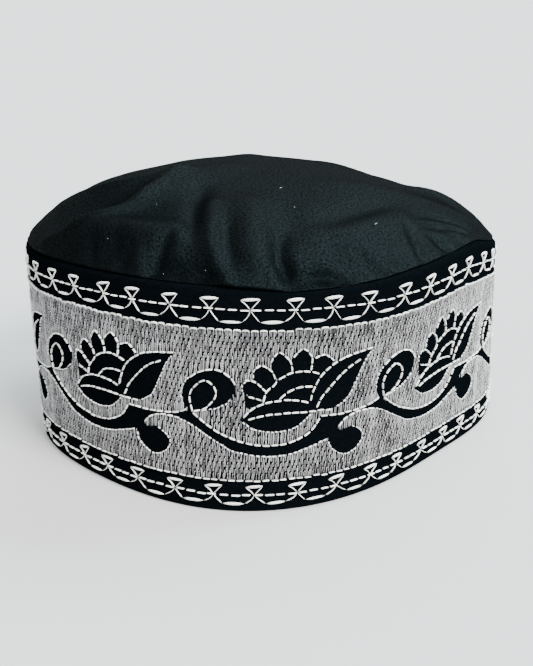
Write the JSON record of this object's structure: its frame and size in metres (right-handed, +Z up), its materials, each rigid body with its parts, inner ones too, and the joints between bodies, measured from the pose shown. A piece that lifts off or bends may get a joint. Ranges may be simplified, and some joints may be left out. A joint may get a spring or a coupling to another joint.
{
  "type": "kufi cap",
  "caption": "Brimless kufi cap for the head: an upright stiffened band with pierced vine-and-flower embroidery between stitched borders, under a soft gathered domed crown.",
  "frame": {"origin": "centre of the bounding box at the rim's underside, which is the face that the cap rests on", "axes": "+Z up through the crown, the front toward -Y, the cap's long axis along Y, +X toward the side that the picture shows"},
  "size_m": [0.1838, 0.1965, 0.1052],
  "materials": {
    "crown_cloth": "soft black cotton sateen with a low sheen",
    "band_cloth": "matte black cotton over a stiffener",
    "silver_embroidery": "dense upright fill stitches in pale grey thread",
    "white_thread": "raised white outline stitches with a low sheen"
  },
  "bodies": {
    "root": {"crown": "crown_cloth", "band": "band_cloth", "embroidery_above_vine": "silver_embroidery", "embroidery_below_vine": "silver_embroidery"}
  },
  "joints": []
}
